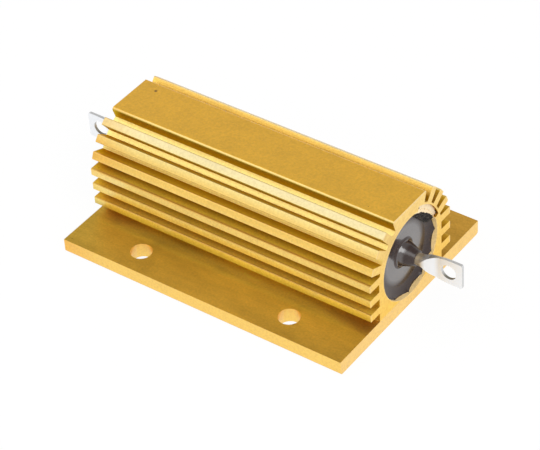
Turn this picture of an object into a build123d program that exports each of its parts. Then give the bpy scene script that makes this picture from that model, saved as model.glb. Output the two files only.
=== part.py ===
from build123d import *

import os
from math import acos, cos, degrees, hypot, radians, sin

# Driving dimensions, in millimetres and degrees.
# X runs along the resistor, Z is up, and the mounting face lies on Z = 0.

# Finned housing, one extrusion along X
housing_length = 65.2
housing_height = 23.6
base_width = 47.5
base_thickness = 3.15
base_edge_round = 0.6
bore_diameter = 18.2
bore_axis_height = 11.6
bore_wall = 1.5
top_land_width = 11.4
land_flank_angle = 18.25
land_edge_round = 0.5

# Fins: a straight stack above the base, then a fan about the bore axis, spread up to the top land
fin_span = 27.3
fin_root_thickness = 1.7
fin_tip_thickness = 1.65
fin_tip_round = 0.18
slot_floor_round = 0.1
straight_fin_count = 3
base_slot_width = 2.05
straight_slot_width = 1.85
fan_fin_count = 3
fan_first_angle = 21.5
land_slot_angle = 11.0

# Mounting holes, one near each corner of the base
hole_spacing_x = 35.0
hole_edge_distance = 5.25
hole_diameter = 4.4

# Moulding that fills the bore: a face set back from the sawn ends, dished up to a rim on the bore wall
moulding_recess = 1.65
rim_width = 2.0
rim_rise = 0.9
boss_base_diameter = 5.5
boss_tip_diameter = 3.1
boss_height = 3.25
boss_root_chamfer = 0.35

# Broken gate at the far top of the +X end, in its milled recess
gate_start_angle = 20.0
gate_end_angle = 73.0
gate_recess_depth = 0.5
gate_recess_width = 1.1
gate_stub_width = 2.2

# Wound element inside the moulding
core_diameter = 10.0
core_setback = 7.6
core_edge_chamfer = 0.4
wire_diameter = 0.5
cap_depth = 6.0
cap_wall = 0.6
cap_end_thickness = 0.8
cap_edge_chamfer = 0.4

# Terminal: a round pin whose outer end, beyond the sawn end, is pressed flat into a solder lug
pin_diameter = 2.4
pin_projection = 2.9
flat_run = 2.9
flat_blend_round = 3.0
terminal_projection = 11.4
lug_width = 5.6
lug_thickness = 0.6
lug_shoulder_length = 2.4
lug_corner_round = 0.4
lug_hole_diameter = 3.2
lug_hole_inset = 2.9

# Sizes worked out from the driving dimensions
half_length = housing_length / 2
bore_radius = bore_diameter / 2
slot_floor_radius = bore_radius + bore_wall
fin_tip_radius = fin_span / 2
hole_spacing_y = base_width - 2 * hole_edge_distance
straight_fin_pitch = straight_slot_width + fin_root_thickness
land_height = housing_height - bore_axis_height
land_lean = radians(land_flank_angle)
flank_offset = top_land_width / 2 * cos(land_lean) - land_height * sin(land_lean)
land_foot_angle = degrees(acos(flank_offset / slot_floor_radius)) - land_flank_angle
fan_last_angle = land_foot_angle - land_slot_angle
fan_pitch_angle = (fan_last_angle - fan_first_angle) / (fan_fin_count - 1)
moulding_face = half_length - moulding_recess
core_radius = core_diameter / 2
core_end = half_length - core_setback
cap_face = core_end + cap_end_thickness
cap_mouth = core_end - cap_depth
pin_radius = pin_diameter / 2
flat_start = half_length + pin_projection
lug_reach = half_length + terminal_projection
hole_places = GridLocations(hole_spacing_x, hole_spacing_y, 2, 2)

# The bore axis, pointing along +X, and the plane of the housing's section at the -X end
bore_axis = Axis((0, 0, bore_axis_height), (1, 0, 0))
section_plane = Plane(origin=(-half_length, 0, 0), x_dir=(0, 1, 0), z_dir=(1, 0, 0))


def fin_section() -> Sketch:
    """One fin pointing along +X from the bore axis, narrowing to a rounded tip."""
    buried_root = slot_floor_radius - bore_wall / 2
    taper = (fin_root_thickness - fin_tip_thickness) / (fin_tip_radius - slot_floor_radius)
    root_half = (fin_root_thickness + taper * bore_wall / 2) / 2
    tip_half = fin_tip_thickness / 2
    outline = Polyline(
        (buried_root, -root_half),
        (fin_tip_radius, -tip_half),
        (fin_tip_radius, tip_half),
        (buried_root, root_half),
        close=True,
    )
    fin = make_face(outline)
    return fillet(fin.vertices().group_by(Axis.X)[-1], fin_tip_round)


def fin_stack() -> Sketch:
    """All fins on the +Y side of the section."""
    fin = fin_section()
    first_height = base_thickness + base_slot_width + fin_root_thickness / 2
    straight = [Pos(0, first_height + i * straight_fin_pitch) * fin for i in range(straight_fin_count)]
    fan = [
        Pos(0, bore_axis_height) * Rot(0, 0, fan_first_angle + i * fan_pitch_angle) * fin
        for i in range(fan_fin_count)
    ]
    return Sketch() + straight + fan


def top_land() -> Sketch:
    """The land on top of the barrel, whose flanks lean in on their way down to the slot floors."""
    land = Rot(0, 0, 180) * Trapezoid(top_land_width, land_height, 90 - land_flank_angle)
    land = Pos(0, bore_axis_height + land_height / 2) * land
    edge_stand = abs(hypot(top_land_width / 2, land_height) - slot_floor_radius)
    return fillet(land.vertices().group_by(Axis.Y)[-1], min(land_edge_round, edge_stand / 2))


def is_slot_floor_corner(corner: Vertex) -> bool:
    """True for a sharp inner corner where a fin or the top land meets a slot floor."""
    tolerance = 0.001
    above_axis = corner.Y - bore_axis_height
    if above_axis > tolerance:
        return abs(hypot(corner.X, above_axis) - slot_floor_radius) < tolerance
    on_wall = abs(abs(corner.X) - slot_floor_radius) < tolerance
    return on_wall and above_axis < -tolerance


def housing_section() -> Sketch:
    """The extrusion's section, with its bore, seen along the resistor."""
    base = Pos(0, base_thickness / 2) * Rectangle(base_width, base_thickness)
    base = fillet(base.vertices().group_by(Axis.Y)[0], base_edge_round)
    pedestal = Pos(0, bore_axis_height / 2) * Rectangle(2 * slot_floor_radius, bore_axis_height)
    barrel = Pos(0, bore_axis_height) * Circle(slot_floor_radius)
    fins = fin_stack()
    outer = base + pedestal + barrel + top_land() + fins + mirror(fins, about=Plane.YZ)
    outer = fillet(outer.vertices().filter_by(is_slot_floor_corner), slot_floor_round)
    return outer - Pos(0, bore_axis_height) * Circle(bore_radius)


def gate_sector(inner_radius: float, outer_radius: float, start: float, length: float) -> Part:
    """A block over the gate's arc between two radii, from X = start for a length along +X."""
    arc_size = gate_end_angle - gate_start_angle
    ring = Circle(outer_radius) - Circle(inner_radius)
    reach = 2 * outer_radius
    corners = [(0, 0)]
    corners += [(reach * cos(radians(a)), reach * sin(radians(a))) for a in (0, arc_size / 2, arc_size)]
    sector = Rot(0, 0, gate_start_angle) * make_face(Polyline(*corners, close=True))
    plane = Plane(origin=(start, 0, bore_axis_height), x_dir=(0, 1, 0), z_dir=(1, 0, 0))
    return extrude(plane * (ring & sector), length)


def housing() -> Part:
    """The finned extrusion with its mounting holes and the gate recess in the +X end."""
    body = extrude(section_plane * housing_section(), housing_length)
    holes = hole_places * Cylinder(hole_diameter / 2, 2 * base_thickness)
    recess_outer = bore_radius + gate_recess_width
    recess = gate_sector(bore_radius / 2, recess_outer, half_length - gate_recess_depth, gate_recess_depth)
    return body - holes - recess


def turned(section: Sketch) -> Part:
    """A solid of revolution about the bore axis, from a section in X and distance from that axis."""
    plane = Plane(origin=bore_axis.position, x_dir=(1, 0, 0), z_dir=(0, -1, 0))
    return revolve(plane * section, bore_axis)


def block(start: float, end: float, inner: float, outer: float) -> Sketch:
    """A rectangular section between two places along X and two distances from the bore axis."""
    return Pos(start, inner) * Rectangle(end - start, outer - inner, align=(Align.MIN, Align.MIN))


def ceramic_core() -> Part:
    """The ceramic rod that carries the winding."""
    rod = turned(block(-core_end, core_end, 0, core_radius))
    return chamfer(rod.edges().filter_by(GeomType.CIRCLE), core_edge_chamfer)


def resistance_winding() -> Part:
    """The wire turns between the two caps, as one sleeve on the core."""
    return turned(block(-cap_mouth, cap_mouth, core_radius, core_radius + wire_diameter))


def end_cap() -> Part:
    """The cup pressed over the +X end of the core."""
    cup = turned(block(cap_mouth, cap_face, 0, core_radius + cap_wall))
    cup = chamfer(cup.edges().filter_by(GeomType.CIRCLE).group_by(Axis.X)[-1], cap_edge_chamfer)
    return cup - ceramic_core()


def lug_outline() -> Sketch:
    """Half of the +X terminal seen from the side: the pin, its flare and the lug's rounded corner."""
    half_width = lug_width / 2
    shoulder = lug_reach - lug_shoulder_length
    pin_top = Polyline((shoulder, 0), (cap_face, 0), (cap_face, pin_radius), (flat_start, pin_radius))
    flare = TangentArc((shoulder, half_width), (flat_start, pin_radius), tangent=(-1, 0))
    tip = Polyline((shoulder, half_width), (lug_reach, half_width), (lug_reach, 0), (shoulder, 0))
    outline = make_face([*pin_top.edges(), flare, *tip.edges()])
    neck = outline.vertices().sort_by_distance((flat_start, pin_radius))[0]
    outline = fillet(neck, flat_blend_round)
    corner = outline.vertices().sort_by_distance((lug_reach, half_width))[0]
    return fillet(corner, lug_corner_round)


def press_outline() -> Sketch:
    """The +X terminal seen from above: full pin thickness, thinned to the lug's thickness."""
    half_thickness = lug_thickness / 2
    flat_end = flat_start + flat_run
    side = make_face(
        Polyline(
            (cap_face, 0),
            (cap_face, pin_radius),
            (flat_start, pin_radius),
            (flat_end, half_thickness),
            (lug_reach, half_thickness),
            (lug_reach, 0),
            close=True,
        )
    )
    bends = side.vertices().filter_by(lambda v: cap_face < v.X < lug_reach)
    side = fillet(bends, flat_blend_round)
    return side + mirror(side, about=Plane.XZ)


def terminal() -> Part:
    """The +X terminal: a round pin from the cap, pressed flat into a lug with a hole."""
    spread = turned(lug_outline())
    pressed = Pos(0, 0, bore_axis_height) * extrude(press_outline(), lug_width, both=True)
    hole_place = Pos(lug_reach - lug_hole_inset, 0, bore_axis_height) * Rot(90, 0, 0)
    return (spread & pressed) - hole_place * Cylinder(lug_hole_diameter / 2, lug_width)


def moulded_insulation(buried: list[Part]) -> Part:
    """The moulding in the bore, with a boss round each pin, closed over the buried pieces."""
    boss_base = boss_base_diameter / 2
    boss_tip = boss_tip_diameter / 2
    boss_face = moulding_face + boss_height
    rim_start = (moulding_face, bore_radius - rim_width)
    rim_edge = (moulding_face + rim_rise, bore_radius)
    boss = Polyline((0, 0), (boss_face, 0), (boss_face, boss_tip), (moulding_face, boss_base), rim_start)
    rim = TangentArc(rim_start, rim_edge, tangent=(0, 1))
    wall = Polyline(rim_edge, (0, bore_radius), (0, 0))
    section = make_face([*boss.edges(), rim, *wall.edges()])
    boss_foot = section.vertices().sort_by_distance((moulding_face, boss_base))[0]
    half = turned(chamfer(boss_foot, boss_root_chamfer))
    body = half + mirror(half, about=Plane.YZ)
    gate_stub_height = moulding_recess - gate_recess_depth
    body += gate_sector(bore_radius - gate_stub_width, bore_radius, moulding_face, gate_stub_height)
    for piece in buried:
        body -= piece
    return body


def main() -> None:
    """Build every piece and write one file for each."""
    cap = end_cap()
    pin = terminal()
    buried = {
        "ceramic_core": ceramic_core(),
        "resistance_winding": resistance_winding(),
        "end_cap_right": cap,
        "end_cap_left": mirror(cap, about=Plane.YZ),
        "terminal_right": pin,
        "terminal_left": mirror(pin, about=Plane.YZ),
    }
    pieces = buried | {
        "housing": housing(),
        "moulded_insulation": moulded_insulation(list(buried.values())),
    }
    os.makedirs("parts", exist_ok=True)
    for name, shape in pieces.items():
        export_step(shape, f"parts/{name}.step")


main()
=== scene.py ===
"""Looks of an aluminium housed power resistor, dressed over its CAD frame.

The housing, the terminals and the sealed wound element keep their CAD shapes and get finishes.
The moulding in the bore is modelled again here, with the scalloped skin that it leaves on the
bore wall and the broken stub of its gate.
"""

import logging
import math
from dataclasses import dataclass
from enum import Enum

import bmesh
import bpy
from bmesh.types import BMesh
from bpy.types import Material, NodeSocket, NodeTree, Object, ShaderNode
from mathutils import Matrix, Quaternion, Vector, noise


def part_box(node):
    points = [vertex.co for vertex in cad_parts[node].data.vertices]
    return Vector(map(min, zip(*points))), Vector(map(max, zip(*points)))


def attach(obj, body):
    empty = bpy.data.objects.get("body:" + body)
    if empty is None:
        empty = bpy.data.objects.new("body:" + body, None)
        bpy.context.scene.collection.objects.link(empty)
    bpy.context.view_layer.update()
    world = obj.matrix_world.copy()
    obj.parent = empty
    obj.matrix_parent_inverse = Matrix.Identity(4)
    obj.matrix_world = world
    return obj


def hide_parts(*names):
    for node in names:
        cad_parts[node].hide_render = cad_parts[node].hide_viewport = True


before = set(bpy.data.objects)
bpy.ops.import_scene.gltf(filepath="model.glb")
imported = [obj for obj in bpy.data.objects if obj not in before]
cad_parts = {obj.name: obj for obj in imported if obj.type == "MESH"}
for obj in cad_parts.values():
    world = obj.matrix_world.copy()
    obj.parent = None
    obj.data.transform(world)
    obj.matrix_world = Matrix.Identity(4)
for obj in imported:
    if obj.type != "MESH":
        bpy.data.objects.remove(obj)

LOG = logging.getLogger("resistor")
MM = 0.001
BODY = "root"
MERGE = 0.001 * MM
# A film's tone at each of several heights in mm, a share of each colour, and a pair of numbers
Films = tuple[tuple[float, str], ...]
Share = tuple[float, float, float]
Pair = tuple[float, float]
# A face whose normal has more than this along an axis looks straight along it
STRAIGHT = 0.9
# All of each colour, and a range that goes down instead of up
FULL = (1.0, 1.0, 1.0)
FALLING = {"To Min": 1.0, "To Max": 0.0}


class Node(Enum):
    """The CAD nodes that the scene dresses or replaces."""

    HOUSING = "housing"
    MOULDING = "moulded_insulation"
    CORE = "ceramic_core"
    WINDING = "resistance_winding"
    CAP_LEFT = "end_cap_left"
    CAP_RIGHT = "end_cap_right"
    TERMINAL_LEFT = "terminal_left"
    TERMINAL_RIGHT = "terminal_right"


class Slot(Enum):
    """The record's material slots."""

    ALUMINIUM = "anodised_aluminium"
    MOULDING = "black_moulding"
    TERMINAL = "tinned_terminal"
    CERAMIC = "ceramic"
    WIRE = "resistance_wire"
    CAP = "cap_steel"


class Test(Enum):
    """The comparisons that masks are made of."""

    OVER = "GREATER_THAN"
    UNDER = "LESS_THAN"
    NEAR = "COMPARE"


def linear(hex_colour: str) -> tuple[float, float, float, float]:
    """Turns an sRGB hex colour into linear red, green, blue and alpha.

    Args:
        hex_colour: The colour as "#RRGGBB".

    Returns:
        The linear colour with an alpha of 1.
    """
    channels = [int(hex_colour[i : i + 2], 16) / 255 for i in (1, 3, 5)]
    red, green, blue = [c / 12.92 if c <= 0.04045 else ((c + 0.055) / 1.055) ** 2.4 for c in channels]
    return red, green, blue, 1.0


def add_node(
    tree: NodeTree,
    kind: str,
    settings: dict[str, object] | None = None,
    inputs: dict[str | int, object] | None = None,
) -> ShaderNode:
    """Adds one shader node with its settings, values and links.

    Args:
        tree: The node tree that gets the node.
        kind: The node's type name, without the "ShaderNode" that they all start with.
        settings: Properties of the node itself.
        inputs: For each input by name or number: a value, a socket to link, or a node whose
            first live output is linked.

    Returns:
        The new node.
    """
    node = tree.nodes.new(f"ShaderNode{kind}")
    for name, value in (settings or {}).items():
        setattr(node, name, value)
    for key, value in (inputs or {}).items():
        if isinstance(value, ShaderNode):
            value = next(output for output in value.outputs if output.enabled)
        if isinstance(value, NodeSocket):
            tree.links.new(value, node.inputs[key])
        else:
            node.inputs[key].default_value = value
    return node


def all_of(tree: NodeTree, *parts: ShaderNode | tuple) -> ShaderNode:
    """Marks the places where every part holds.

    Args:
        tree: The node tree.
        *parts: Masks, or tests that each say what is compared, how, and with which limits.

    Returns:
        The mask.
    """
    whole = None
    for part in parts:
        if isinstance(part, tuple):
            value, test, *limits = part
            part = add_node(tree, "Math", {"operation": test.value}, dict(enumerate((value, *limits))))
        if whole is None:
            whole = part
        else:
            whole = add_node(tree, "Math", {"operation": "MULTIPLY"}, {0: whole, 1: part})
    return whole


def tinted(tree: NodeTree, tone: ShaderNode, *shares: ShaderNode) -> ShaderNode:
    """Multiplies a tone.

    Args:
        tree: The node tree.
        tone: The tone.
        *shares: Shares of its brightness, or of each of its colours.

    Returns:
        The changed tone.
    """
    for share in shares:
        tone = add_node(tree, "VectorMath", {"operation": "MULTIPLY"}, {0: tone, 1: share})
    return tone


def uneven_polish(
    tree: NodeTree, grain_mm: float, roughness: float, spread: float
) -> tuple[ShaderNode, ShaderNode, ShaderNode]:
    """Varies a roughness with a fine grain, drawn coarser than a real one to show at the photo's scale.

    Args:
        tree: The node tree.
        grain_mm: Size of the grain.
        roughness: The middle roughness.
        spread: How far it goes up and down.

    Returns:
        The texture coordinates, the grain and the roughness.
    """
    place = add_node(tree, "TexCoord")
    fine = {"Scale": 1 / (grain_mm * MM), "Detail": 3.0}
    grain = add_node(tree, "TexNoise", inputs={"Vector": place.outputs["Object"], **fine})
    ends = {"To Min": roughness - spread, "To Max": roughness + spread}
    return place, grain, add_node(tree, "MapRange", inputs={"Value": grain, **ends})


def new_material(name: str) -> tuple[Material, NodeTree]:
    """Makes an empty node material.

    Args:
        name: What the finish is called.

    Returns:
        The material and its node tree, without nodes.
    """
    material = bpy.data.materials.new(name)
    material.use_nodes = True
    material.node_tree.nodes.clear()
    return material, material.node_tree


def put_in_scene(name: str, data: bpy.types.ID) -> Object:
    """Makes an object and links it to the scene.

    Args:
        name: The object's name.
        data: Its mesh, lamp or camera.

    Returns:
        The object.
    """
    holder = bpy.data.objects.new(name, data)
    bpy.context.scene.collection.objects.link(holder)
    return holder


def mesh_object(name: str, mesh: BMesh, material: Material) -> Object:
    """Makes an object from a finished bmesh, which is freed.

    Args:
        name: The object's name.
        mesh: Its shape, in place.
        material: Its finish.

    Returns:
        The object.
    """
    data = bpy.data.meshes.new(name)
    mesh.to_mesh(data)
    mesh.free()
    data.materials.append(material)
    return put_in_scene(name, data)


def add_piece(name: str, mesh: BMesh, material: Material) -> Object:
    """Makes a piece of the object from a finished bmesh.

    Args:
        name: The piece's name.
        mesh: The piece's shape, in place.
        material: Its finish.

    Returns:
        The piece, riding on the part's one body.
    """
    piece = mesh_object(name, mesh, material)
    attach(piece, BODY)
    LOG.info("%s: %d faces in %s", name, len(piece.data.polygons), material.name)
    return piece


def dress_node(node: Node, material: Material) -> None:
    """Gives a CAD node its finish.

    Args:
        node: The CAD node.
        material: Its finish.
    """
    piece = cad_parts[node.value]
    piece.data.materials.clear()
    piece.data.materials.append(material)
    LOG.info("%s: CAD shape in %s", node.value, material.name)


def spin_round(mesh: BMesh, axis_height: float, angle: float, steps: int, whole: bool = False) -> None:
    """Spins everything in a mesh about the bore's axis.

    Args:
        mesh: The section, changed in place.
        axis_height: Height of the bore's axis.
        angle: How far it turns.
        steps: How many steps it takes.
        whole: Whether the turn comes round to its start.
    """
    bmesh.ops.spin(
        mesh,
        geom=mesh.verts[:] + mesh.edges[:],
        cent=(0.0, 0.0, axis_height),
        axis=(1.0, 0.0, 0.0),
        angle=angle,
        steps=steps,
        use_merge=whole,
    )


def finish_shading(mesh: BMesh, crease_deg: float = 40.0) -> None:
    """Turns faces outwards and shades them smooth between creases.

    Args:
        mesh: The shape to finish.
        crease_deg: Edges that turn by more than this stay sharp.
    """
    bmesh.ops.recalc_face_normals(mesh, faces=mesh.faces[:])
    for face in mesh.faces:
        face.smooth = True
    for edge in mesh.edges:
        edge.smooth = edge.calc_face_angle(math.pi) < math.radians(crease_deg)


@dataclass
class HousingPlaces:
    """The places where the extrusion's film changes, marked in the node tree of its finish."""

    tree: NodeTree
    housing: "Housing"
    left_run: float = 9 * MM

    def __post_init__(self) -> None:
        """Adds the coordinates that the masks read."""
        tree = self.tree
        place = add_node(tree, "TexCoord")
        self.point = place.outputs["Object"]
        self.x, self.y, self.z = add_node(tree, "SeparateXYZ", inputs={0: self.point}).outputs
        facing = add_node(tree, "SeparateXYZ", inputs={0: place.outputs["Normal"]})
        self.normal_x, self.normal_y, self.normal_z = facing.outputs
        rise = add_node(tree, "Math", {"operation": "SUBTRACT"}, {0: self.z, 1: self.housing.axis_height})
        above = add_node(tree, "Math", {"operation": "MAXIMUM"}, {0: rise, 1: 0.0})
        # Distance from the bore's axis, and how far out a place lies: below the axis, from the middle plane
        self.radius, self.reach = (
            add_node(tree, "VectorMath", {"operation": "LENGTH"}, {0: spot})
            for spot in [
                add_node(tree, "CombineXYZ", inputs={"Y": self.y, "Z": height}) for height in (rise, above)
            ]
        )

    def rounds(self) -> ShaderNode:
        """Marks the rounded upper edges of the straight fins."""
        low = (self.z, Test.UNDER, self.housing.axis_height + 3 * MM)
        return all_of(self.tree, (self.normal_z, Test.OVER, 0.2), low)

    def far_flank(self) -> ShaderNode:
        """Marks the mouth of the upper flank of the far topmost fin.

        Returns:
            The mask.
        """
        top = self.housing.top
        span = {"From Min": top - 2.4 * MM, "From Max": top - 1.6 * MM}
        mouth = add_node(self.tree, "MapRange", inputs={"Value": self.z, **span})
        tilted = (self.normal_z, Test.NEAR, self.housing.flank_tilt, 0.06)
        return all_of(self.tree, tilted, (self.y, Test.OVER, 0.0), mouth)

    def slot_floors(self) -> ShaderNode:
        """Marks the floors of the slots in the fan, which look out of them at the light."""
        floor = (self.reach, Test.NEAR, self.housing.slot_floor, 0.06 * MM)
        return all_of(self.tree, floor, (self.z, Test.OVER, self.housing.axis_height + 4 * MM))

    def land_walls(self) -> ShaderNode:
        """Marks the undercut walls of the land."""
        side = add_node(self.tree, "Math", {"operation": "ABSOLUTE"}, {0: self.normal_y})
        return all_of(self.tree, (side, Test.OVER, STRAIGHT), (self.z, Test.OVER, self.housing.top - 3 * MM))

    def slots(self) -> ShaderNode:
        """Marks the walls and floors of the slots between the fins.

        Returns:
            The mask, with a soft border at the slots' mouths.
        """
        mouth = self.housing.fin_reach
        span = {"From Min": mouth - 0.5 * MM, "From Max": mouth - 0.1 * MM, **FALLING}
        inside = add_node(self.tree, "MapRange", inputs={"Value": self.reach, **span})
        over = (self.z, Test.OVER, self.housing.flange_top + 0.1 * MM)
        return all_of(self.tree, inside, over, (self.z, Test.UNDER, self.housing.top - 0.4 * MM))

    def upward(self, level: float) -> ShaderNode:
        """Marks the faces that look straight up at one height."""
        return all_of(self.tree, (self.normal_z, Test.OVER, STRAIGHT), (self.z, Test.NEAR, level, 0.1 * MM))

    def bore(self) -> ShaderNode:
        """Marks the bored wall, which the tool left matt; its pale tone is partly bare metal and partly
        painted light.
        """
        return all_of(self.tree, (self.radius, Test.UNDER, self.housing.bore_radius + 0.05 * MM))

    def ends(self) -> ShaderNode:
        """Marks the two sawn ends."""
        side = add_node(self.tree, "Math", {"operation": "ABSOLUTE"}, {0: self.normal_x})
        return all_of(self.tree, (side, Test.OVER, STRAIGHT))

    def recess(self) -> ShaderNode:
        """Marks the milled floor of the gate's recess, which the dye never reached.

        Returns:
            The mask.
        """
        sunk = (self.x, Test.UNDER, self.housing.end - 0.25 * MM)
        high = (self.z, Test.OVER, self.housing.axis_height)
        return all_of(self.tree, (self.normal_x, Test.OVER, STRAIGHT), sunk, high)

    def pit(self, along: float, across: float) -> ShaderNode:
        """Marks a small pit in the land.

        Args:
            along: Its place along the extrusion.
            across: Its place across the land.

        Returns:
            The mask, with a soft border.
        """
        middle = (along, across, self.housing.top)
        gap = add_node(self.tree, "VectorMath", {"operation": "DISTANCE"}, {0: self.point, 1: middle})
        span = {"From Min": 0.1 * MM, "From Max": 0.45 * MM, **FALLING}
        return add_node(self.tree, "MapRange", inputs={"Value": gap, **span})

    def at_left(self, share: Share) -> ShaderNode:
        """Changes a tone towards the left end.

        Args:
            share: The share of each colour at the end.

        Returns:
            The share at each place.
        """
        span = {"From Min": -self.housing.end, "From Max": self.left_run - self.housing.end}
        run = add_node(self.tree, "MapRange", inputs={"Value": self.x, **span})
        return add_node(self.tree, "Mix", {"data_type": "VECTOR"}, {0: run, 4: share, 5: FULL})

    def far_side(self, share: Share) -> ShaderNode:
        """Changes a tone on the far side by a share of each colour."""
        far = all_of(self.tree, (self.y, Test.OVER, 0.0))
        return add_node(self.tree, "Mix", {"data_type": "VECTOR"}, {0: far, 4: FULL, 5: share})


@dataclass(frozen=True)
class GoldAnodising:
    """Gold anodised aluminium: a satin metal under a clear oxide film, with lines from the die.

    The dye reads paler on the sawn ends. The darker flange, the darker far side and the slots' walls
    darkening towards their floors are painted shade. The paler top tips, the floors of the fan's slots and
    the flange beside the fins are painted light.
    """

    # Films by height in mm: on the fins' tips and outer faces, then in the slots. Their steps from fin to fin
    # paint light and shade: the paler, whiter tones on the top tips are painted highlight, and the darker
    # tone on the lowest tip is painted shade
    outer_films_and_light: Films = (
        (3.3, "#FFD366"),
        (5.5, "#D8CC72"),
        (6.6, "#FEF296"),
        (9.2, "#F8E587"),
        (10.2, "#FFF09E"),
        (13.2, "#FFEA96"),
        (16.6, "#F3C85C"),
        (19.4, "#E6C266"),
        (20.1, "#EBD07C"),
        (22.6, "#DBCB98"),
        (23.2, "#E9CA76"),
    )
    slot_films_and_shade: Films = (
        (3.3, "#FFE47E"),
        (7.0, "#FBE161"),
        (10.5, "#FFE863"),
        (14.0, "#F1D855"),
        (17.0, "#F0D649"),
        (19.2, "#EAD058"),
        (20.8, "#DCC038"),
    )
    # Painted light on the floors of the fan's slots, which face the light
    floor_painted_light: str = "#FFE890"
    # Painted shade on the land's undercut walls
    wall_painted_shade: str = "#D0B440"
    round_film: str = "#DCB45C"
    # Painted light on the mouth of the far top fin's upper flank, on the far side only
    flank_painted_light: str = "#F8CF6A"
    # Shares of red, green and blue that are left of a film at such a place: deep in the slots and on the far
    # side they are painted shade
    deep_shade_share: Share = (0.6, 0.47, 0.25)
    far_shade_share: Share = (0.8, 0.64, 0.5)
    far_flange_shade_share: Share = (1.0, 0.9, 1.0)
    left_share: Share = (0.98, 0.84, 0.62)
    pit_mm: Pair = (-28.6, 3.2)
    pit_film: str = "#6A4410"
    edge_film: str = "#F0C048"
    land_film: str = "#EFBD38"
    # Painted shade over the flange, and painted light beside the fins that lifts the shade under them, fading
    # out near the open ends
    flange_painted_shade: str = "#DAB24E"
    foot_painted_light: str = "#FFEA68"
    foot_mm: Pair = (-0.4, 2.4)
    foot_fade_mm: Pair = (14.0, 2.0)
    sawn_films: tuple[str, str] = ("#FFD87C", "#FFE4A2")
    # The bored wall's pale matt tone is partly bare metal and partly painted light, where the wall would
    # mirror the dark moulding
    bore_bare_and_lit_film: str = "#FFE0A2"
    bore_metallic: float = 0.25
    bare_metal: str = "#FFF0D2"
    tip_roughness: float = 0.41
    line_roughness: float = 0.08
    # Die lines and grain are drawn several times coarser than real ones, to show at the photo's scale
    die_line_mm: float = 0.3
    die_line_run_mm: float = 40.0
    bump_mm: float = 0.03
    grain_mm: float = 0.45
    grain_share: Pair = (0.91, 1.07)
    blotch_mm: float = 5.0
    blotch_share: Pair = (0.96, 1.03)
    smudge_mm: float = 9.0
    smudge_stretch: tuple[float, float, float] = (0.45, 1.3, 1.0)
    smudge_share: Pair = (0.76, 1.12)
    speck_gap_mm: float = 2.4
    speck_mm: float = 0.3
    speck_chance: float = 0.4
    speck_depth: float = 0.6

    def material(self, housing: "Housing") -> Material:
        """Builds the finish.

        Args:
            housing: The extrusion, for the places where the film changes.

        Returns:
            The material.
        """
        material, tree = new_material("gold_anodised_extrusion")
        places = HousingPlaces(tree, housing)
        along, across = (1 / (size * MM) for size in (self.die_line_run_mm, self.die_line_mm))
        scale = (along, across, across)
        stretched = add_node(tree, "Mapping", inputs={"Vector": places.point, "Scale": scale})
        lines = add_node(tree, "TexNoise", inputs={"Vector": stretched, "Scale": 1.0, "Detail": 3.0})
        fine = {"Scale": 1 / (self.grain_mm * MM), "Detail": 2.0}
        grain = add_node(tree, "TexNoise", inputs={"Vector": places.point, **fine})
        bore, slots, rounds = places.bore(), places.slots(), places.rounds()
        tone = tinted(tree, self.by_height(places, self.outer_films_and_light), places.at_left(self.left_share))
        rough = self.tip_roughness
        # Each later layer lies over the ones before it: where it is, its film and its roughness. The slots,
        # slot floors, far flank, land walls and flange layers paint light and shade, and the bore's layer is
        # partly painted light
        for mask, next_tone, next_rough in (
            (rounds, linear(self.round_film), 0.5),
            (slots, self.in_slots(places), 0.65),
            (places.far_flank(), linear(self.flank_painted_light), 0.45),
            (places.slot_floors(), linear(self.floor_painted_light), 0.45),
            (places.land_walls(), linear(self.wall_painted_shade), 0.5),
            (places.upward(housing.flange_top), self.smudged(places), 0.48),
            (places.upward(housing.top), linear(self.land_film), 0.55),
            (places.pit(*(length * MM for length in self.pit_mm)), linear(self.pit_film), 0.6),
            (places.ends(), self.sawn(places), 0.5),
            (places.recess(), linear(self.bare_metal), 0.6),
            (bore, linear(self.bore_bare_and_lit_film), 0.8),
        ):
            tone = add_node(tree, "Mix", {"data_type": "RGBA"}, {0: mask, 6: tone, 7: next_tone})
            rough = add_node(tree, "Mix", {"data_type": "FLOAT"}, {0: mask, 2: rough, 3: next_rough})
        colour = tinted(tree, tone, self.shade(places, grain))
        ends = {"To Min": 1.0, "To Max": self.bore_metallic}
        metal = add_node(tree, "MapRange", inputs={"Value": bore, **ends})
        dull = add_node(tree, "Math", {"operation": "MAXIMUM"}, {0: slots, 1: rounds})
        coat = add_node(tree, "Math", {"operation": "SUBTRACT"}, {0: 1.0, 1: dull})
        ends = {"To Min": -self.line_roughness, "To Max": self.line_roughness}
        streak = add_node(tree, "MapRange", inputs={"Value": lines, **ends})
        height = add_node(tree, "Math", {"operation": "ADD"}, {0: lines, 1: grain})
        relief = {"Strength": 0.5, "Distance": self.bump_mm * MM, "Height": height}
        shader = add_node(
            tree,
            "BsdfPrincipled",
            inputs={
                "Base Color": colour,
                "Metallic": metal,
                "Roughness": add_node(tree, "Math", {"operation": "ADD"}, {0: rough, 1: streak}),
                "Normal": add_node(tree, "Bump", inputs=relief),
                "Specular Tint": linear(self.edge_film),
                "Coat Weight": coat,
                "Coat Roughness": 0.15,
            },
        )
        add_node(tree, "OutputMaterial", inputs={"Surface": shader})
        return material

    @staticmethod
    def by_height(places: HousingPlaces, films: Films) -> ShaderNode:
        """Grades the film from the flange up to the land.

        Args:
            places: The places on the extrusion.
            films: Heights in mm with the film's tone at each.

        Returns:
            The film's tone.
        """
        top = places.housing.top
        share = add_node(places.tree, "MapRange", inputs={"Value": places.z, "From Max": top})
        ramp = add_node(places.tree, "ValToRGB", inputs={"Fac": share})
        stops = ramp.color_ramp.elements
        stops.remove(stops[0])
        stops[0].position = films[0][0] * MM / top
        for height_mm, _ in films[1:]:
            stops.new(height_mm * MM / top)
        for stop, (_, tone) in zip(stops, films):
            stop.color = linear(tone)
        return ramp

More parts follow.
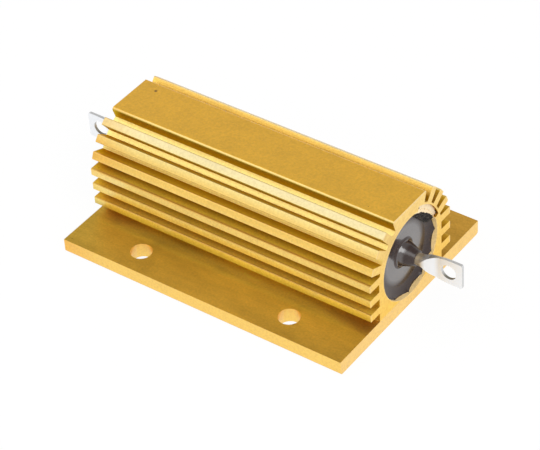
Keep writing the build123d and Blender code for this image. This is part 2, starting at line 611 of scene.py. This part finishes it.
    def shade(self, places: HousingPlaces, grain: ShaderNode) -> ShaderNode:
        """Mottles the film and strews dark specks over it.

        Args:
            places: The places on the extrusion.
            grain: The fine noise.

        Returns:
            The share of the film's brightness at each place.
        """
        tree = places.tree
        slow = {"Scale": 1 / (self.blotch_mm * MM), "Detail": 4.0}
        blotch = add_node(tree, "TexNoise", inputs={"Vector": places.point, **slow})
        span = {"From Min": 0.3, "From Max": 0.7}
        mottles = [
            add_node(tree, "MapRange", inputs={"Value": pattern, **span, "To Min": low, "To Max": high})
            for pattern, (low, high) in ((blotch, self.blotch_share), (grain, self.grain_share))
        ]
        gap = 1 / (self.speck_gap_mm * MM)
        cells = add_node(tree, "TexVoronoi", inputs={"Vector": places.point, "Scale": gap})
        size = self.speck_mm / self.speck_gap_mm / 2
        span = {"From Min": size * 0.5, "From Max": size, **FALLING}
        spot = add_node(tree, "MapRange", inputs={"Value": cells.outputs["Distance"], **span})
        pick = add_node(tree, "SeparateColor", inputs={0: cells.outputs["Color"]})
        span = {"From Min": 1.0 - self.speck_chance, "From Max": 1.0, "To Max": self.speck_depth}
        speck = all_of(tree, spot, add_node(tree, "MapRange", inputs={"Value": pick, **span}))
        clean = add_node(tree, "Math", {"operation": "SUBTRACT"}, {0: 1.0, 1: speck})
        return all_of(tree, *mottles, clean)

    def in_slots(self, places: HousingPlaces) -> ShaderNode:
        """Grades the film in the slots by height, and paints shade that darkens it from their mouths down to
        their floors and on the far side.

        Args:
            places: The places on the extrusion.

        Returns:
            The film's tone.
        """
        span = {"From Min": places.housing.slot_floor, "From Max": places.housing.fin_reach}
        out = add_node(places.tree, "MapRange", inputs={"Value": places.reach, **span})
        depth = add_node(places.tree, "Mix", {"data_type": "VECTOR"}, {0: out, 4: self.deep_shade_share, 5: FULL})
        tone = self.by_height(places, self.slot_films_and_shade)
        shares = depth, places.far_side(self.far_shade_share), places.at_left(self.left_share)
        return tinted(places.tree, tone, *shares)

    def smudged(self, places: HousingPlaces) -> ShaderNode:
        """Smudges the flange's film in long soft streaks, and paints light beside the fins, fading out near
        the open ends, over a flange tone darkened as painted shade.

        Args:
            places: The places on the extrusion.

        Returns:
            The film's tone.
        """
        tree, housing = places.tree, places.housing
        stretched = add_node(tree, "Mapping", inputs={"Vector": places.point, "Scale": self.smudge_stretch})
        soft = {"Scale": 1 / (self.smudge_mm * MM), "Detail": 7.0, "Roughness": 0.72}
        cloud = add_node(tree, "TexNoise", inputs={"Vector": stretched, **soft})
        low, high = self.smudge_share
        span = {"From Min": 0.32, "From Max": 0.68, "To Min": low, "To Max": high}
        smudge = add_node(tree, "MapRange", inputs={"Value": cloud, **span})
        start, stop = (housing.fin_reach + length * MM for length in self.foot_mm)
        foot = add_node(tree, "MapRange", inputs={"Value": places.reach, "From Min": start, "From Max": stop})
        run = add_node(tree, "Math", {"operation": "ABSOLUTE"}, {0: places.x})
        start, stop = (housing.end - length * MM for length in self.foot_fade_mm)
        open_end = add_node(tree, "MapRange", inputs={"Value": run, "From Min": start, "From Max": stop})
        plain = add_node(tree, "Math", {"operation": "MAXIMUM"}, {0: foot, 1: open_end})
        films = {6: linear(self.foot_painted_light), 7: linear(self.flange_painted_shade)}
        tone = add_node(tree, "Mix", {"data_type": "RGBA"}, {0: plain, **films})
        return tinted(tree, tone, smudge, places.far_side(self.far_flange_shade_share))

    def sawn(self, places: HousingPlaces) -> ShaderNode:
        """Colours the sawn ends, paler above the base.

        Args:
            places: The places on the extrusion.

        Returns:
            The film's tone.
        """
        span = {"From Min": places.housing.flange_top, "From Max": places.housing.top}
        rise = add_node(places.tree, "MapRange", inputs={"Value": places.z, **span})
        low, high = (linear(film) for film in self.sawn_films)
        return add_node(places.tree, "Mix", {"data_type": "RGBA"}, {0: rise, 6: low, 7: high})


@dataclass(frozen=True)
class MouldingCompound:
    """Black moulding compound: glossy where the mould formed it, dull and speckled where it broke."""

    name: str
    body: str
    speckle: str
    roughness: float
    grain_mm: float
    bump_mm: float
    polished_mm: Pair | None = None
    polish_fade_mm: Pair = (0.2, 1.2)
    boss_foot_mm: float = 3.0
    foot_half_width_mm: float = 0.25
    axis_height: float = 0.0
    shine: float = 0.5
    spread: float = 0.05

    def material(self) -> Material:
        """Builds the finish.

        Returns:
            The material.
        """
        material, tree = new_material(self.name)
        place, grain, rough = uneven_polish(tree, self.grain_mm, self.roughness, self.spread)
        spots = add_node(tree, "MapRange", inputs={"Value": grain, "From Min": 0.5, "From Max": 0.7})
        tones = {6: linear(self.body), 7: linear(self.speckle)}
        relief = {"Strength": 0.3, "Distance": self.bump_mm * MM, "Height": grain}
        shader = add_node(
            tree,
            "BsdfPrincipled",
            inputs={
                "Base Color": add_node(tree, "Mix", {"data_type": "RGBA"}, {0: spots, **tones}),
                "Roughness": rough,
                "Normal": add_node(tree, "Bump", inputs=relief),
                "Specular IOR Level": self.shine,
                "Coat Weight": self.polished(tree, place) if self.polished_mm else 0.0,
                "Coat Roughness": 0.1,
                "Coat IOR": 1.8,
            },
        )
        add_node(tree, "OutputMaterial", inputs={"Surface": shader})
        return material

    def polished(self, tree: NodeTree, place: ShaderNode) -> ShaderNode:
        """Marks the flat ring and the boss, which the mould polished, without the round between them.

        Args:
            tree: The node tree.
            place: The texture coordinates.

        Returns:
            The mask, with soft borders.
        """
        start, stop = (radius * MM for radius in self.polished_mm)
        fade_in, fade_out = (width * MM for width in self.polish_fade_mm)
        centred = {"Location": (0.0, 0.0, -self.axis_height), "Scale": (0.0, 1.0, 1.0)}
        flat = add_node(tree, "Mapping", inputs={"Vector": place.outputs["Object"], **centred})
        reach = add_node(tree, "VectorMath", {"operation": "LENGTH"}, {0: flat})
        span = {"From Min": start - fade_in, "From Max": start}
        inner = add_node(tree, "MapRange", inputs={"Value": reach, **span})
        span = {"From Min": stop - fade_out, "From Max": stop, **FALLING}
        outer = add_node(tree, "MapRange", inputs={"Value": reach, **span})
        foot = all_of(tree, (reach, Test.NEAR, self.boss_foot_mm * MM, self.foot_half_width_mm * MM))
        ring = all_of(tree, inner, outer)
        return add_node(tree, "Math", {"operation": "SUBTRACT", "use_clamp": True}, {0: ring, 1: foot})


@dataclass(frozen=True)
class PlainFinish:
    """One even colour with a fine, uneven polish, for bare metals and ceramic."""

    name: str
    colour: str
    roughness: float
    metallic: float = 1.0
    grain_mm: float = 0.5
    spread: float = 0.06

    def material(self) -> Material:
        """Builds the finish.

        Returns:
            The material.
        """
        material, tree = new_material(self.name)
        rough = uneven_polish(tree, self.grain_mm, self.roughness, self.spread)[-1]
        look = {"Base Color": linear(self.colour), "Metallic": self.metallic, "Roughness": rough}
        shader = add_node(tree, "BsdfPrincipled", inputs=look)
        add_node(tree, "OutputMaterial", inputs={"Surface": shader})
        return material


@dataclass(frozen=True)
class TinPlate:
    """Tinned copper: bright on the lugs, grey on their edge faces, with painted shade on the lower walls of
    the holes.
    """

    tin: str = "#F5F7FA"
    # Grey on the lugs' edge faces
    edge_face_grey: str = "#D6D6D6"
    # Painted shade on the lower walls of the lugs' holes
    hole_painted_shade: str = "#948F84"
    hole_mm: Pair = (41.1, 1.7)
    pin: str = "#D2C6B0"
    roughness: float = 0.5
    spread: float = 0.08
    grain_mm: float = 0.5
    flat_start_mm: float = 4.2
    flare_mm: Pair = (1.6, 0.6)

    def material(self, housing_end: float, axis_height: float) -> Material:
        """Builds the finish.

        Args:
            housing_end: Place of the housing's end, which the lugs start from.
            axis_height: Height of the lugs' holes.

        Returns:
            The material.
        """
        material, tree = new_material("tinned_copper")
        place, _, rough = uneven_polish(tree, self.grain_mm, self.roughness, self.spread)
        _, normal_y, normal_z = add_node(tree, "SeparateXYZ", inputs={0: place.outputs["Normal"]}).outputs
        x, _, z = add_node(tree, "SeparateXYZ", inputs={0: place.outputs["Object"]}).outputs
        turned, out = (
            add_node(tree, "Math", {"operation": "ABSOLUTE"}, {0: value}) for value in (normal_y, x)
        )
        flat_start = housing_end + self.flat_start_mm * MM
        start, stop = (flat_start - length * MM for length in self.flare_mm)
        flare = add_node(tree, "MapRange", inputs={"Value": out, "From Min": start, "From Max": stop})
        edge = all_of(tree, (turned, Test.UNDER, 0.5), (out, Test.OVER, flat_start))
        along, radius = (length * MM for length in self.hole_mm)
        spot = add_node(tree, "CombineXYZ", inputs={"X": out, "Z": z})
        centre = (along, 0.0, axis_height)
        gap = add_node(tree, "VectorMath", {"operation": "DISTANCE"}, {0: spot, 1: centre})
        floor = add_node(tree, "MapRange", inputs={"Value": normal_z, "From Min": 0.3, "From Max": STRAIGHT})
        hole = all_of(tree, (gap, Test.UNDER, radius), floor)
        tone = linear(self.pin)
        for mask, film in ((flare, self.tin), (edge, self.edge_face_grey), (hole, self.hole_painted_shade)):
            tone = add_node(tree, "Mix", {"data_type": "RGBA"}, {0: mask, 6: tone, 7: linear(film)})
        look = {"Base Color": tone, "Metallic": 1.0, "Roughness": rough}
        shader = add_node(tree, "BsdfPrincipled", inputs=look)
        add_node(tree, "OutputMaterial", inputs={"Surface": shader})
        return material


@dataclass
class Housing:
    """The finned extrusion, which keeps its CAD shape."""

    flange_top: float = 3.15 * MM
    fin_reach: float = 13.65 * MM
    slot_floor: float = 10.6 * MM
    flank_tilt: float = 0.619

    def __post_init__(self) -> None:
        """Reads the places of the ends, the top and the bore from the frame."""
        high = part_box(Node.HOUSING.value)[1]
        self.end = high.x
        self.top = high.z
        low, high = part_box(Node.MOULDING.value)
        self.axis_height = (low.z + high.z) / 2
        self.bore_radius = (high.z - low.z) / 2

    def dress(self, finish: GoldAnodising) -> None:
        """Gives the extrusion its film."""
        dress_node(Node.HOUSING, finish.material(self))


@dataclass
class Moulding:
    """The moulding in the bore: dished faces, a boss round each pin and a scalloped skin on the wall."""

    face_setback: float = 1.65 * MM
    rim_width: float = 2.0 * MM
    rim_rise: float = 0.9 * MM
    boss_foot_diameter: float = 5.5 * MM
    boss_tip_diameter: float = 3.1 * MM
    boss_tip_round: float = 0.15 * MM
    boss_foot_round: float = 0.5 * MM
    scallop_count: int = 12
    scallop_first_deg: float = -1.0
    scallop_width: float = 0.7 * MM
    point_rise: float = 0.4 * MM
    scallop_depth: float = 0.65 * MM
    scallop_power: float = 0.6
    steps: int = 288

    def __post_init__(self) -> None:
        """Reads the places of the bore, the boss and the buried pieces from the frame."""
        low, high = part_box(Node.MOULDING.value)
        self.bore_radius = (high.y - low.y) / 2
        self.axis_height = (high.z + low.z) / 2
        self.boss_face = high.x
        self.housing_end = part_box(Node.HOUSING.value)[1].x
        self.face = self.housing_end - self.face_setback

    def build(self) -> BMesh:
        """Spins the half section and mirrors it.

        Returns:
            The closed moulding.
        """
        cap_low, cap_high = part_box(Node.CAP_RIGHT.value)
        winding_low, winding_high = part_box(Node.WINDING.value)
        pin_low, pin_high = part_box(Node.TERMINAL_RIGHT.value)
        pin_radius = (pin_high.y - pin_low.y) / 2
        cap_radius = (cap_high.y - cap_low.y) / 2
        winding_radius = (winding_high.y - winding_low.y) / 2
        section = [
            (0.0, winding_radius),
            (cap_low.x, winding_radius),
            (cap_low.x, cap_radius),
            (cap_high.x, cap_radius),
            (cap_high.x, pin_radius),
            (self.boss_face, pin_radius),
            (self.boss_face, self.boss_tip_diameter / 2),
            (self.face, self.boss_foot_diameter / 2),
            (self.face, self.bore_radius - self.rim_width / 2),
            (self.face + self.rim_rise, self.bore_radius),
            (0.0, self.bore_radius),
        ]
        mesh = bmesh.new()
        corners = [mesh.verts.new((along, 0.0, self.axis_height + radius)) for along, radius in section]
        for pair in zip(corners, corners[1:]):
            mesh.edges.new(pair)
        rounds = {6: self.boss_tip_round, 7: self.boss_foot_round, 8: self.rim_width / 2}
        shape = {"affect": "VERTICES", "segments": 8, "profile": 0.5, "material": -1}
        for index, size in rounds.items():
            bmesh.ops.bevel(mesh, geom=[corners[index]], offset=size, **shape)
        lip = [e for e in mesh.edges if corners[9] in e.verts and corners[10] not in e.verts]
        bmesh.ops.subdivide_edges(mesh, edges=lip, cuts=3)
        spin_round(mesh, self.axis_height, math.tau, self.steps, whole=True)
        bmesh.ops.remove_doubles(mesh, verts=mesh.verts[:], dist=MERGE)
        self.scallop(mesh)
        bmesh.ops.mirror(
            mesh,
            geom=mesh.verts[:] + mesh.edges[:] + mesh.faces[:],
            matrix=Matrix.Identity(4),
            merge_dist=MERGE,
            axis="X",
        )
        finish_shading(mesh)
        return mesh

    def scallop(self, mesh: BMesh) -> None:
        """Draws the rim out along the wall into points with hollows between them.

        Args:
            mesh: The spun half, changed in place.
        """
        inner = self.bore_radius - self.scallop_width
        for vert in mesh.verts:
            across, up = vert.co.y, vert.co.z - self.axis_height
            radius = math.hypot(across, up)
            if vert.co.x < self.face - 10 * MERGE or radius <= inner:
                continue
            turn = math.atan2(up, across) - math.radians(self.scallop_first_deg)
            hollow = abs(math.sin(turn * self.scallop_count / 2)) ** self.scallop_power
            share = (radius - inner) / self.scallop_width
            vert.co.x += share**2 * (self.point_rise - self.scallop_depth * hollow)

    def dress(self, mesh: BMesh, finish: MouldingCompound) -> None:
        """Puts the closed moulding in place of its CAD node."""
        piece = add_piece("moulding", mesh, finish.material())
        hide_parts(Node.MOULDING.value)


@dataclass
class BrokenGate:
    """The stub of the gate, broken off level with the floor of its recess, and the crumbs it left."""

    first_deg: float = 19.0
    last_deg: float = 73.0
    inner_radius: float = 6.1 * MM
    chord_deg: float = 43.0
    chord_distance: float = 6.75 * MM
    wall_gap: float = 0.02 * MM
    root_depth: float = 1.9 * MM
    top_depth: float = 0.55 * MM
    whole_height: float = 0.3 * MM
    lip_drop: float = 0.72 * MM
    break_rise: float = 0.1 * MM
    roughness: float = 0.2 * MM
    lump: float = 0.5 * MM
    # Each crumb's turn in degrees, then its radius, half length and half width in mm
    crumbs: tuple[tuple[float, float, float, float], ...] = (
        (68.5, 9.4, 0.5, 0.17),
        (71.0, 9.25, 0.25, 0.13),
        (24.0, 10.12, 0.55, 0.13),
        (19.5, 10.05, 0.5, 0.15),
        (20.8, 9.5, 0.2, 0.12),
    )
    crumb_rise: float = 0.02 * MM
    crumb_lump: float = 0.2 * MM
    crumb_roughness: float = 0.05 * MM
    crumb_seed: int = 5
    burr_rise: float = 0.05 * MM
    burr_width: float = 0.65 * MM
    burr_thickness: float = 0.1 * MM
    burr_start_deg: float = 2.0
    burr_run_deg: float = 26.0
    burr_wave: float = 0.25
    steps: int = 72
    cuts: int = 20

    def __post_init__(self) -> None:
        """Reads the places of the bore and the end from the frame."""
        low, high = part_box(Node.MOULDING.value)
        self.outer_radius = (high.y - low.y) / 2 - self.wall_gap
        self.axis_height = (high.z + low.z) / 2
        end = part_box(Node.HOUSING.value)[1].x
        self.root, self.top = end - self.root_depth, end - self.top_depth

    def place(self, along: float, radius: float, turn_deg: float) -> Vector:
        """Finds a place along the bore by its distance from the axis and its turn from +Y towards +Z."""
        turn = math.radians(turn_deg)
        return Vector((along, radius * math.cos(turn), self.axis_height + radius * math.sin(turn)))

    def build_stub(self) -> BMesh:
        """Spins the stub's section and breaks its top up.

        Returns:
            The closed stub.
        """
        section = (
            (self.root, self.inner_radius),
            (self.root, self.outer_radius),
            (self.top, self.outer_radius),
            (self.top - self.lip_drop, self.inner_radius),
        )
        mesh = bmesh.new()
        corners = [mesh.verts.new(self.place(along, radius, self.first_deg)) for along, radius in section]
        edges = [mesh.edges.new((a, b)) for a, b in zip(corners, corners[1:] + corners[:1])]
        bmesh.ops.subdivide_edges(mesh, edges=edges[2:], cuts=self.cuts)
        spin_round(mesh, self.axis_height, math.radians(self.last_deg - self.first_deg), self.steps)
        middle = self.place(0.0, self.chord_distance, self.chord_deg)
        outwards = self.place(0.0, 1.0, self.chord_deg) - self.place(0.0, 0.0, self.chord_deg)
        whole = mesh.verts[:] + mesh.edges[:] + mesh.faces[:]
        bmesh.ops.bisect_plane(mesh, geom=whole, plane_co=middle, plane_no=outwards, clear_inner=True)
        bmesh.ops.holes_fill(mesh, edges=[e for e in mesh.edges if e.is_boundary])
        bmesh.ops.triangulate(mesh, faces=[f for f in mesh.faces if len(f.verts) > 4])
        for vert in mesh.verts:
            if vert.co.x > self.root + self.whole_height:
                coarse = noise.noise(vert.co / self.lump)
                fine = noise.noise(vert.co / (self.lump / 3))
                rough = vert.co.x + self.roughness * (coarse + 0.5 * fine)
                vert.co.x = min(rough, self.top + self.break_rise)
        finish_shading(mesh, crease_deg=25)
        return mesh

    def build_crumbs(self) -> BMesh:
        """Makes the crumbs that stay in the corners of the recess.

        Returns:
            The crumbs in one mesh.
        """
        mesh = bmesh.new()
        noise.seed_set(self.crumb_seed)
        for turn_deg, radius, length, width in self.crumbs:
            lump = bmesh.ops.create_icosphere(mesh, subdivisions=2, radius=0.5)["verts"]
            stretch = Matrix.Diagonal((width * MM * 2, width * MM * 2, length * MM * 2, 1.0))
            turned = Matrix.Rotation(math.radians(turn_deg), 4, "X")
            middle = Matrix.Translation(self.place(self.top + self.crumb_rise, radius * MM, turn_deg))
            bmesh.ops.transform(mesh, matrix=middle @ turned @ stretch, verts=lump)
            for vert in lump:
                vert.co += noise.noise_vector(vert.co / self.crumb_lump) * self.crumb_roughness
        finish_shading(mesh, crease_deg=60)
        return mesh

    def build_burr(self) -> BMesh:
        """Spins the burr that the cutter turned over the stub, thinning out towards its low end.

        Returns:
            The closed burr.
        """
        level = self.top + self.burr_rise
        mesh = bmesh.new()
        corners = [
            mesh.verts.new(self.place(along, radius, self.first_deg + self.burr_start_deg))
            for along, radius in (
                (level, self.outer_radius),
                (level, self.outer_radius - self.burr_width),
                (level - self.burr_thickness, self.outer_radius - self.burr_width),
                (level - self.burr_thickness, self.outer_radius),
            )
        ]
        for pair in zip(corners, corners[1:] + corners[:1]):
            mesh.edges.new(pair)
        turn = self.last_deg - self.first_deg - self.burr_start_deg
        spin_round(mesh, self.axis_height, math.radians(turn), self.steps)
        bmesh.ops.holes_fill(mesh, edges=[e for e in mesh.edges if e.is_boundary])
        for vert in mesh.verts:
            across, up = vert.co.y, vert.co.z - self.axis_height
            radius = math.hypot(across, up)
            turn = math.degrees(math.atan2(up, across))
            share = min((turn - self.first_deg) / self.burr_run_deg, 1.0)
            wave = 1 + self.burr_wave * noise.noise(vert.co / self.lump)
            width = (self.outer_radius - radius) * share * wave
            vert.co = self.place(vert.co.x, self.outer_radius - width, turn)
        finish_shading(mesh)
        return mesh

    def dress(self, finish: MouldingCompound, bare: PlainFinish) -> None:
        """Adds the stub, its crumbs and the burr.

        Args:
            finish: The broken compound.
            bare: The bare metal of the burr.
        """
        material = finish.material()
        add_piece("gate_burr", self.build_burr(), bare.material())
        add_piece("broken_gate", self.build_stub(), material)
        add_piece("gate_crumbs", self.build_crumbs(), material)


def direction(azimuth_deg: float, elevation_deg: float) -> Vector:
    """Gives the unit vector for a turn from the front, -Y, towards +X, and a height above the horizon."""
    turn, rise = math.radians(azimuth_deg), math.radians(elevation_deg)
    return Vector((math.sin(turn) * math.cos(rise), -math.cos(turn) * math.cos(rise), math.sin(rise)))


@dataclass(frozen=True)
class Softbox:
    """A rectangular studio lamp that faces the object."""

    name: str
    azimuth_deg: float
    elevation_deg: float
    distance: float
    width: float
    height: float
    radiance: float

    def build(self) -> None:
        """Hangs the lamp, with its power worked out from its brightness."""
        lamp = bpy.data.lights.new(self.name, "AREA")
        lamp.shape = "RECTANGLE"
        lamp.size = self.width
        lamp.size_y = self.height
        lamp.energy = self.radiance * math.pi * self.width * self.height
        holder = put_in_scene(self.name, lamp)
        away = direction(self.azimuth_deg, self.elevation_deg)
        holder.location = away * self.distance
        holder.rotation_euler = (-away).to_track_quat("-Z", "Y").to_euler()


@dataclass
class Studio:
    """A white table under a dome of soft light, with two softboxes."""

    horizon: float = 1.0
    zenith: float = 0.5
    fade_deg: Pair = (20.0, 44.0)
    floor_half_width: float = 6.0
    floor_drop: float = 0.02 * MM
    floor_colour: str = "#F7F7F7"
    backing: float = 0.94

    def build_world(self) -> None:
        """Makes the dome: white at the horizon and greyer above."""
        world = bpy.data.worlds.new("studio_dome")
        bpy.context.scene.world = world
        world.use_nodes = True
        tree = world.node_tree
        tree.nodes.clear()
        place = add_node(tree, "TexCoord")
        split = add_node(tree, "SeparateXYZ", inputs={0: place.outputs["Generated"]})
        start, stop = (math.sin(math.radians(rise)) for rise in self.fade_deg)
        span = {"From Min": start, "From Max": stop, "To Min": self.horizon, "To Max": self.zenith}
        level = add_node(
            tree, "MapRange", {"interpolation_type": "SMOOTHSTEP"}, {"Value": split.outputs["Z"], **span}
        )
        light = add_node(tree, "Background", inputs={"Color": linear("#FFFFFF"), "Strength": level})
        add_node(tree, "OutputWorld", inputs={"Surface": light})

    def build_floor(self) -> None:
        """Lays the table, which shows white to the camera and to reflections and keeps the shadow."""
        mesh = bmesh.new()
        bmesh.ops.create_grid(mesh, x_segments=1, y_segments=1, size=self.floor_half_width)
        bmesh.ops.translate(mesh, vec=(0.0, 0.0, -self.floor_drop), verts=mesh.verts[:])
        material, tree = new_material("white_table")
        path = add_node(tree, "LightPath")
        shown = path.outputs["Is Camera Ray"]
        for ray in ("Is Glossy Ray", "Is Transmission Ray"):
            both = {0: shown, 1: path.outputs[ray]}
            shown = add_node(tree, "Math", {"operation": "ADD", "use_clamp": True}, both)
        share = add_node(tree, "Math", {"operation": "MULTIPLY"}, {0: shown, 1: self.backing})
        paint = add_node(tree, "BsdfDiffuse", inputs={"Color": linear(self.floor_colour)})
        glow = add_node(tree, "Emission", inputs={"Strength": 1.0})
        mixed = add_node(tree, "MixShader", inputs={0: share, 1: paint, 2: glow})
        add_node(tree, "OutputMaterial", inputs={"Surface": mixed})
        table = mesh_object("table", mesh, material)

    def build(self) -> None:
        """Sets up the dome, the table and the lamps."""
        self.build_world()
        self.build_floor()
        Softbox("key_softbox", -55.0, 48.0, distance=1.2, width=1.5, height=0.9, radiance=1.0).build()
        Softbox("end_softbox", 56.0, 46.0, distance=1.2, width=0.9, height=0.9, radiance=3.4).build()


@dataclass(frozen=True)
class PhotoCamera:
    """The camera at the photograph's viewing angle, for a frame of 540 by 450."""

    target_mm: tuple[float, float, float] = (2.21, -2.88, 7.48)
    azimuth_deg: float = 37.96
    elevation_deg: float = 40.03
    roll_deg: float = -3.79
    distance_mm: float = 459.5
    focal_mm: float = 159.34
    sensor_mm: float = 36.0
    clip: Pair = (0.01, 50.0)

    def build(self) -> None:
        """Makes the camera and hands it to the scene."""
        data = bpy.data.cameras.new("photo_camera")
        data.lens = self.focal_mm
        data.sensor_width = self.sensor_mm
        data.clip_start, data.clip_end = self.clip
        camera = put_in_scene("photo_camera", data)
        away = direction(self.azimuth_deg, self.elevation_deg)
        camera.location = Vector(self.target_mm) * MM + away * self.distance_mm * MM
        camera.rotation_mode = "QUATERNION"
        level = (-away).to_track_quat("-Z", "Y")
        camera.rotation_quaternion = level @ Quaternion((0.0, 0.0, 1.0), math.radians(self.roll_deg))
        bpy.context.scene.camera = camera


def main() -> None:
    """Builds the pieces in order, then the studio and the camera."""
    logging.basicConfig(level=logging.INFO, format="%(name)s: %(message)s")
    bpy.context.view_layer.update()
    bpy.context.scene.view_settings.view_transform = "Standard"

    Housing().dress(GoldAnodising())

    moulding = Moulding()
    # Brown-black and mirror-like on the flat ring, then near black with pale filler where it broke
    moulded = MouldingCompound(
        "black_moulding_compound",
        "#2E1F1B",
        "#36261F",
        roughness=0.24,
        grain_mm=0.4,
        bump_mm=0.01,
        polished_mm=(2.4, 6.8),
        axis_height=moulding.axis_height,
    )
    moulding.dress(moulding.build(), moulded)
    broken = MouldingCompound(
        "broken_compound", "#0F0B0A", "#5C534B", roughness=0.55, grain_mm=0.25, bump_mm=0.05, shine=0.2
    )
    # A pale, matt edge of metal that the dye never reached
    BrokenGate().dress(broken, PlainFinish("bare_aluminium", "#FFEAC4", 0.6))

    tin = TinPlate().material(moulding.housing_end, moulding.axis_height)
    dress_node(Node.TERMINAL_LEFT, tin)
    dress_node(Node.TERMINAL_RIGHT, tin)
    # Grey half-bright steel caps, an off-white matt rod and dull grey wire, all sealed in the moulding
    steel = PlainFinish("cap_steel", "#B9B6B0", 0.35).material()
    dress_node(Node.CAP_LEFT, steel)
    dress_node(Node.CAP_RIGHT, steel)
    dress_node(Node.CORE, PlainFinish("fired_ceramic", "#E6E0D4", 0.6, metallic=0.0).material())
    dress_node(Node.WINDING, PlainFinish("resistance_wire", "#8E8A84", 0.3).material())

    Studio().build()
    PhotoCamera().build()


if __name__ == "__main__":
    main()
